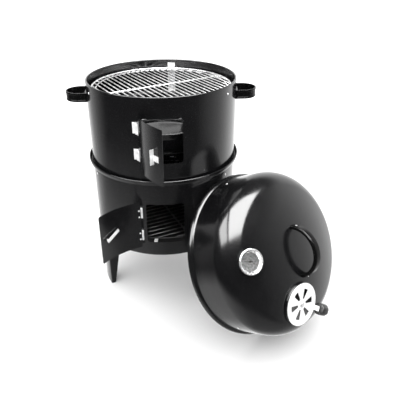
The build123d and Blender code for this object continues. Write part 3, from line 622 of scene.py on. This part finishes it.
# ---- grates and bowls ---------------------------------------------------------------------------
def grate(name, node, body, level, radius, pitch, turn, inner_ring, finish):
    """Parallel wires in a round rim, with one cross rod and sometimes a second ring under them."""
    parts = [ring(radius, RIM_ROD, 0.0)]
    count = int((radius - 6) / pitch)
    for k in range(-count, count + 1):
        half = sqrt(radius ** 2 - (k * pitch) ** 2)
        parts.append(wire((k * pitch, -half, 0), (k * pitch, half, 0), WIRE_ROD))
    parts.append(wire((-radius + 1, 0, -1.2), (radius - 1, 0, -1.2), RIM_ROD))
    if inner_ring:
        parts.append(ring(inner_ring, WIRE_ROD, -RIM_ROD))
    part = moved(join(*parts), shift(0, 0, level) @ about_z(turn))
    make(name, part, finish, body, [node], sharp=60)


grate("cooking_grate_wires", "upper_grate", "cooking_grate", level=587.0, radius=GRATE_R, pitch=GRATE_PITCH,
      turn=27.6, inner_ring=GRATE_RING, finish=CHROME)
# The lower grate and the charcoal grate take the near-black wire, whose dark colour is painted shade.
grate("lower_grate_wires", "lower_grate", "lower_grate", level=364.0, radius=GRATE_R, pitch=GRATE_PITCH,
      turn=0.0, inner_ring=GRATE_RING, finish=SHADED_WIRE)
grate("charcoal_grate_wires", "charcoal_grate", "charcoal_grate", level=207.0, radius=175.0, pitch=18.0,
      turn=112.0, inner_ring=None, finish=SHADED_WIRE)


def bowl(name, node, body, rim, mouth, base, depth, corner, finish):
    """A pressed bowl with a flat rim rolled under at its edge."""
    m = WALL / 2
    wall_line = [(0.0, rim - depth + m), (base - corner, rim - depth + m), (base, rim - depth + m),
                 (mouth - m, rim - 2.0), (mouth, rim + m), (mouth + 4, rim + m),
                 (BOWL_RIM_R - 0.3, rim + m)]
    path = rounded(wall_line, [0, 0, corner, 0, 1.6, 0, 0], 10, closed=False)
    path = path[:-1] + arc((BOWL_RIM_R, rim + 1.5), 0.9, -90, 180, 9)
    make(name, lathe(sheet(path, WALL), 224), finish, body, [node], sharp=50)


bowl("water_bowl_shell", "water_bowl", "water_bowl", rim=514.2, mouth=178.0, base=146.0, depth=78.0,
     corner=36.0, finish=ENAMEL)
bowl("charcoal_bowl_shell", "charcoal_bowl", "charcoal_bowl", rim=218.2, mouth=182.0, base=171.0, depth=42.0,
     corner=14.0, finish=SOOTED)


# ---- lid ----------------------------------------------------------------------------------------
# The angle at which the knuckle's arc runs into the crown's.
KNUCKLE_END = atan2(SKIRT_H - CROWN_Z, SKIRT_R - KNUCKLE)
VENT_LOCAL = crown(VENT_DIST, VENT_BEARING, VENT_RISE)


def dome_height(r):
    """Height of the lid's outside at a distance from its axis."""
    if r >= SKIRT_R - KNUCKLE + KNUCKLE * cos(KNUCKLE_END):
        return SKIRT_H + sqrt(max(0.0, KNUCKLE ** 2 - (r - SKIRT_R + KNUCKLE) ** 2))
    return CROWN_Z + sqrt(CROWN_R ** 2 - r ** 2)


def dome_normal(p):
    """The direction that the lid's smooth outside faces at a place, or None down at its lip."""
    p = LEANING.inverted() @ Vector(p)
    r = sqrt(p.x ** 2 + p.y ** 2)
    if p.z < 24.0:
        return None
    if p.z < SKIRT_H:
        n = Vector((p.x, p.y, 0.0))
    elif r < SKIRT_R - KNUCKLE + KNUCKLE * cos(KNUCKLE_END):
        n = Vector((p.x, p.y, p.z - CROWN_Z))
    else:
        k = (r - SKIRT_R + KNUCKLE) / r
        n = Vector((p.x * k, p.y * k, p.z - SKIRT_H))
    return (LEANING.to_3x3() @ n).normalized()


def lid_shell():
    m = WALL / 2
    lip = rounded([(LID_R - 0.6, 2.0), (LID_R - 1.1, 7.6), (LID_R - 3.6, 11.6), (LID_R - 7.1, 13.8),
                   (SKIRT_R - m, 19.0)],
                  [0, 4.0, 2.2, 3.0, 0], 6, closed=False)
    path = arc((LID_R - LIP_BEAD, LIP_BEAD), LIP_CURL, 190, 348, 12) + lip
    path += [(SKIRT_R - m, 40.0), (SKIRT_R - m, 62.0), (SKIRT_R - m, 76.0)]
    path += arc((SKIRT_R - KNUCKLE, SKIRT_H), KNUCKLE - m, 0, degrees(KNUCKLE_END), 26)
    path += arc((0.0, CROWN_Z), CROWN_R - m, degrees(KNUCKLE_END) + 0.4, 90, 44)
    path[-1] = (0.0, LID_H - m)
    shell = make("lid_dome", moved(lathe(sheet(path, WALL), 320), LEANING), PAINT)
    cut(shell, [moved(prism(circle(VENT_R + 1.2, 96), -30, 12), VENT),
                moved(prism(circle(4.1, 24), -20, 20), THERMO)])
    true_normals(shell, dome_normal)
    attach(shell, "lid")
    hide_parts("lid_shell")


def pierced_plate(outer, holes, low, high):
    """A flat plate with holes through it."""
    loops = [outer] + [list(h) for h in holes]
    flat = [Vector((x, y, 0)) for loop in loops for x, y in loop]
    tris = tessellate_polygon([[Vector((x, y, 0)) for x, y in loop] for loop in loops])
    n = len(flat)
    verts = [(v.x, v.y, low) for v in flat] + [(v.x, v.y, high) for v in flat]
    faces = [(a, b, c) for a, b, c in tris] + [(n + a, n + c, n + b) for a, b, c in tris]
    start = 0
    for loop in loops:
        k = len(loop)
        faces += [(start + i, start + (i + 1) % k, n + start + (i + 1) % k, n + start + i) for i in range(k)]
        start += k
    return verts, faces


def wedge(turn, inner, outer):
    half = radians(12.0)
    t = radians(turn)
    points = [(inner * cos(t - half), inner * sin(t - half))]
    points += [(outer * cos(t + a), outer * sin(t + a)) for a in np.linspace(-half, half, 7)]
    points += [(inner * cos(t + half), inner * sin(t + half))]
    return rounded(points, [1.2, 1.8, 0, 0, 0, 0, 0, 1.8, 1.2], 4)


def vent_boss():
    """The flat pressed in the lid that the damper turns on, with a rounded shoulder down to the dome."""
    radius, segments = VENT_R + 2.0, 128
    verts, faces = [], []
    for k in range(segments):
        a = 2 * pi * k / segments
        low, high = -40.0, 2.0
        for _ in range(30):
            z = (low + high) / 2
            p = VENT_LOCAL @ Vector((radius * cos(a), radius * sin(a), z))
            if p.z > dome_height(sqrt(p.x ** 2 + p.y ** 2)):
                high = z
            else:
                low = z
        foot = low - 0.7
        section = [(48.0, 0.0), (51.8, 0.0), (52.9, -0.3), (53.7, -1.1), (54.0, -2.2), (54.0, foot),
                   (52.9, foot), (52.9, -2.4), (52.0, -1.2), (48.0, -1.2)]
        section = [(r, max(z, foot)) if r > 52.5 else (r, z) for r, z in section]
        verts += [(r * cos(a), r * sin(a), z) for r, z in section]
    n = 10
    for k in range(segments):
        here, there = k * n, (k + 1) % segments * n
        faces += [(here + i, there + i, there + (i + 1) % n, here + (i + 1) % n) for i in range(n)]
    slots = [wedge(SLOT_TURN + 60 * k, SLOT_IN, SLOT_OUT - 1.5) for k in range(6)]
    plate = pierced_plate(circle(48.2, 128), slots + [circle(2.6, 24)[::-1]], -1.2, -0.001)
    part = moved(join((verts, faces), plate), VENT)
    make("lid_vent_boss", part, PAINT, "lid", sharp=40)


def vent_disc():
    slots = [wedge(SLOT_TURN + 60 * k, SLOT_IN, SLOT_OUT) for k in range(6)]
    plate = pierced_plate(circle(47.2, 128), slots + [circle(2.66, 24)[::-1]], 0.35, 1.55)
    rim = rounded([(46.5, 0.35), (VENT_R, 0.35), (VENT_R, 2.0), (51.2, 2.45), (48.6, 2.45), (47.4, 1.55),
                   (46.5, 1.55)], [0, 0.3, 0.5, 0.5, 0.6, 0.4, 0], 4)
    mark = rounded([(41.6, 1.5), (43.0, 1.5), (43.0, 1.8), (41.6, 1.8)], [0, 0, 0.28, 0.28], 3)
    hub = rounded([(2.7, 1.5), (11.5, 1.5), (10.4, 2.0), (2.7, 2.0)], [0, 0, 0.5, 0], 3)
    part = moved(join(plate, lathe(rim, 160), lathe(mark, 128), lathe(hub, 64)), VENT)
    make("vent_damper_disc", part, VENT_PLATE, "vent_damper", ["vent_disc"], sharp=40)


def vent_knob():
    """A fluted heat-proof knob on its pin, with a rounded rim and a dished end."""
    place = VENT @ about_z(KNOB_TURN) @ shift(VENT_R, 0, KNOB_LIFT)
    r0 = KNOB_R
    stations = [(KNOB_START, 2.4), (KNOB_START, r0 - 1.1), (6.3, r0 - 0.4), (7.0, r0 - 0.1), (16.0, r0),
                (27.0, r0 - 0.1),
                (27.7, r0 - 0.4), (28.0, r0 - 1.1), (27.8, r0 - 3.0), (27.2, 4.0), (27.0, 0.05)]
    sides = 96
    verts = []
    for x, r in stations:
        for i in range(sides):
            t = 2 * pi * i / sides
            flute = 0.8 * max(0.0, cos(8 * t)) ** 2 if r > KNOB_R - 0.5 else 0.0
            verts.append((x, (r - flute) * cos(t), (r - flute) * sin(t)))
    part = verts, tube_faces(len(stations), sides)
    make("vent_knob_grip", moved(part, place), PLASTIC, "vent_damper", ["vent_knob"],
         sharp=50)


def lid_grip():
    """A half ring of thick bar, with the edges of its outside bevelled."""
    half = (GRIP_LEN - GRIP_T) / 2
    centre = LID_H + GRIP_H - GRIP_LEN / 2
    dip = degrees(asin((centre - dome_height(half) - 0.3) / half))
    places = []
    for a in np.linspace(-dip, 180 + dip, 73):
        t = radians(a)
        places.append(frame_at((half * cos(t), 0, centre + half * sin(t)), (0, 1, 0), (-sin(t), 0, cos(t))))
    w, t, k = GRIP_W / 2, GRIP_T / 2, GRIP_BEVEL
    section = rounded([(-w, t), (w, t), (w, -t + k), (w - k, -t), (k - w, -t), (-w, k - t)],
                      [1.2, 1.2, 0.4, 0.4, 0.4, 0.4], 3)
    make("lid_grip_bow", moved(sweep(places, section), LEANING @ about_z(GRIP_BEARING)), HANDLE, "lid",
         ["lid_grip"], sharp=40)


def thermometer():
    t, depth, case_r = THERMO_R, THERMO_DEPTH, THERMO_R - 3.3
    bezel = rounded([(t - 4.6, depth - 3.0), (t, depth - 3.0), (t, depth - 0.6), (t - 1.4, depth),
                     (t - 3.5, depth - 0.2), (DIAL_R, depth - 7.8), (DIAL_R + 0.5, depth - 7.8)],
                    [0.3, 0.4, 1.4, 1.0, 1.2, 0.1, 0.2], 5)
    make("thermometer_rim", moved(lathe(bezel, 160), THERMO), BRIGHT, "lid", ["thermometer_bezel"],
         sharp=45)
    case = [(4.1, 0.0), (case_r, 0.0), (case_r, 8.9), (case_r - 1.0, 8.9), (case_r - 1.2, 1.6), (4.1, 1.6)]
    make("thermometer_cup", moved(lathe(rounded(case, [0, 2.2, 0.3, 0.3, 0.8, 0], 5), 128), THERMO), BRIGHT,
         "lid", ["thermometer_case"], sharp=45)
    plate = pierced_plate(circle(case_r - 1.6, 96), [circle(1.1, 16)[::-1]], 2.4, 3.2)
    make("thermometer_face", moved(plate, THERMO), DIAL, "lid", ["thermometer_dial"])
    marks = []
    ticks, low, high = 50, 3.19, 3.26
    for k in range(ticks + 1):
        a = radians(DIAL_START - DIAL_SWEEP / ticks * k)
        inner, wide = (0.71 * DIAL_R, 0.34) if k % 5 == 0 else (0.8 * DIAL_R, 0.17)
        outer = 0.91 * DIAL_R
        d, side = Vector((cos(a), sin(a), 0)), Vector((-sin(a), cos(a), 0))
        corners = [d * inner - side * wide, d * outer - side * wide, d * outer + side * wide,
                   d * inner + side * wide]
        marks.append(prism([(c.x, c.y) for c in corners], low, high))
    stops = [DIAL_START - DIAL_SWEEP / ticks * k for k in range(ticks + 1)]
    band = [(0.955 * DIAL_R * cos(radians(a)), 0.955 * DIAL_R * sin(radians(a))) for a in stops]
    band += [(0.935 * DIAL_R * cos(radians(a)), 0.935 * DIAL_R * sin(radians(a))) for a in stops[::-1]]
    marks.append(prism(band, low, high))
    make("thermometer_marks", moved(join(*marks), THERMO), DIAL_INK, "lid")
    glass_r = DIAL_R + 0.4
    glass = rounded([(0.0, 5.45), (glass_r, 5.45), (glass_r, 6.3), (0.0, 6.55)], [0, 0.2, 0.3, 0], 3)
    make("thermometer_glass", moved(lathe(glass, 96), THERMO), GLASS, "lid", ["thermometer_lens"],
         sharp=60)


def dial_numbers():
    """Plain numbers round the dial, as thin raised shapes."""
    for k, text in enumerate(("0", "100", "200", "300", "400", "500")):
        curve = bpy.data.curves.new(f"number_{text}", "FONT")
        curve.body, curve.size, curve.align_x, curve.align_y = text, 3.0 * MM, "CENTER", "CENTER"
        curve.extrude = 0.03 * MM
        temp = bpy.data.objects.new(f"number_{text}", curve)
        bpy.context.collection.objects.link(temp)
        bpy.context.view_layer.update()
        mesh = bpy.data.meshes.new_from_object(temp)
        bpy.data.objects.remove(temp)
        a = radians(DIAL_START - 0.2 * DIAL_SWEEP * k)
        place = THERMO @ shift(0.55 * DIAL_R * cos(a), 0.55 * DIAL_R * sin(a), 3.24) @ about_z(-90)
        for v in mesh.vertices:
            v.co = (place @ (v.co / MM)) * MM
        obj = bpy.data.objects.new(f"dial_number_{text}", mesh)
        bpy.context.collection.objects.link(obj)
        mesh.materials.clear()
        mesh.materials.append(DIAL_INK)
        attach(obj, "lid")


lid_shell()
vent_boss()
vent_disc()
vent_knob()
lid_grip()
thermometer()
dial_numbers()


# ---- CAD pieces that stay, with better materials -------------------------------------------------
KEEP = {
    "thermometer_needle": NEEDLE, "thermometer_probe": BRIGHT, "thermometer_nut": BRIGHT,
    "vent_pivot": BRIGHT, "vent_arm": VENT_PLATE,
}
for name, obj in frame["nodes"].items():
    if obj.hide_render:
        continue
    material = KEEP.get(name, PLATED)
    obj.data.materials.clear()
    obj.data.materials.append(material)


# ---- floor, light and camera --------------------------------------------------------------------
FLOOR = finish_of("pale_floor", (0.90, 0.90, 0.90), (0.92, 0.92, 0.92), (0.7, 0.8), blotch=1.5, grain=40.0,
                  specular=0.0)


def rectangle(x0, x1, y0, y1, z):
    return [Vector(corner) for corner in ((x0, y0, z), (x1, y0, z), (x1, y1, z), (x0, y1, z))], [(0, 1, 2, 3)]


def floor(half=20000.0):
    """A wide floor that the reflections don't see."""
    obj = make("floor", rectangle(-half, half, -half, half, 0.0), FLOOR)
    obj.visible_glossy = False


def world():
    """White surroundings for the camera and for soft light; a dark room in front in the reflections."""
    w = bpy.data.worlds.new("studio")
    bpy.context.scene.world = w
    w.use_nodes = True
    tree = w.node_tree
    tree.nodes.clear()
    out = tree.nodes.new("ShaderNodeOutputWorld")
    rays = tree.nodes.new("ShaderNodeLightPath")
    direction = tree.nodes.new("ShaderNodeTexCoord").outputs["Generated"]

    def background(colour, strength):
        b = tree.nodes.new("ShaderNodeBackground")
        b.inputs["Color"].default_value = (*colour, 1)
        if isinstance(strength, bpy.types.NodeSocket):
            link(tree, strength, b.inputs["Strength"])
        else:
            b.inputs["Strength"].default_value = strength
        return b.outputs[0]

    def dot(vector):
        n = tree.nodes.new("ShaderNodeVectorMath")
        n.operation = "DOT_PRODUCT"
        link(tree, direction, n.inputs[0])
        n.inputs[1].default_value = vector
        return n.outputs["Value"]

    def mix(factor, a, b):
        n = tree.nodes.new("ShaderNodeMixShader")
        link(tree, factor, n.inputs[0])
        link(tree, a, n.inputs[1])
        link(tree, b, n.inputs[2])
        return n.outputs[0]

    def math(operation, a, b):
        n = tree.nodes.new("ShaderNodeMath")
        n.operation = operation
        for value, socket in ((a, n.inputs[0]), (b, n.inputs[1])):
            if isinstance(value, bpy.types.NodeSocket):
                link(tree, value, socket)
            else:
                socket.default_value = value
        return n.outputs[0]

    height = dot((0.0, 0.0, 1.0))
    toward_back = dot((0.342, 0.940, 0.0))
    backdrop = math("ADD", span(tree, toward_back, -0.30, 0.40, 0.0, 1.0),
                    span(tree, toward_back, 0.40, 0.75, 0.0, 0.8))
    backdrop = math("MULTIPLY", backdrop, span(tree, height, 0.42, 0.62, 1.0, 0.08))
    ground = math("MULTIPLY", span(tree, height, -0.62, -0.36, 1.0, 0.0),
                  span(tree, dot((-1.0, 0.0, 0.0)), 0.0, 0.8, 0.35, 1.1))
    room = math("ADD", math("MAXIMUM", backdrop, ground), 0.03)
    glossy = background((1.0, 1.0, 1.0), room)
    plain = background((1.0, 1.0, 1.0), span(tree, height, 0.0, 1.0, 0.9, 2.4))
    white = background((1.0, 1.0, 1.0), 0.94)
    lit = mix(rays.outputs["Is Glossy Ray"], plain, glossy)
    link(tree, mix(rays.outputs["Is Camera Ray"], lit, white), out.inputs["Surface"])


def card(name, x, width, strength):
    """A softbox pane overhead that shows only in reflections."""
    half, depth = width / 2, SOFTBOX_DEPTH / 2
    glow = bpy.data.materials.new(name)
    glow.use_nodes = True
    tree = glow.node_tree
    tree.nodes.clear()
    out = tree.nodes.new("ShaderNodeOutputMaterial")
    lamp = tree.nodes.new("ShaderNodeEmission")
    lamp.inputs["Strength"].default_value = strength
    link(tree, lamp.outputs[0], out.inputs["Surface"])
    part = rectangle(x - half, x + half, SOFTBOX_Y - depth, SOFTBOX_Y + depth, SOFTBOX_Z)
    obj = make(name, part, glow)
    obj.visible_camera = obj.visible_diffuse = obj.visible_shadow = obj.visible_transmission = False


def camera():
    """The main viewpoint: a little above the barrel's top, looking down at it."""
    yaw, pitch, roll = radians(CAMERA_YAW), radians(CAMERA_PITCH), radians(CAMERA_ROLL)
    f = Vector((sin(yaw) * cos(pitch), cos(yaw) * cos(pitch), -sin(pitch)))
    right = f.cross(Vector((0, 0, 1))).normalized()
    up = right.cross(f)
    side, top = right * cos(roll) + up * sin(roll), up * cos(roll) - right * sin(roll)
    data = bpy.data.cameras.new("camera")
    data.sensor_width, data.lens = CAMERA_SENSOR, CAMERA_LENS
    data.shift_x, data.shift_y = CAMERA_SHIFT_X, CAMERA_SHIFT_Y
    obj = bpy.data.objects.new("camera", data)
    bpy.context.collection.objects.link(obj)
    turn = Matrix((side, top, -f)).transposed().to_4x4()
    obj.matrix_world = Matrix.Translation(Vector(CAMERA_AT) * MM) @ turn
    bpy.context.scene.camera = obj


floor()
world()
card("softbox_left_pane", x=-3260.0, width=3240.0, strength=15.0)
card("softbox_right_pane", x=700.0, width=3840.0, strength=22.0)
camera()
bpy.context.scene.view_settings.view_transform = "Standard"
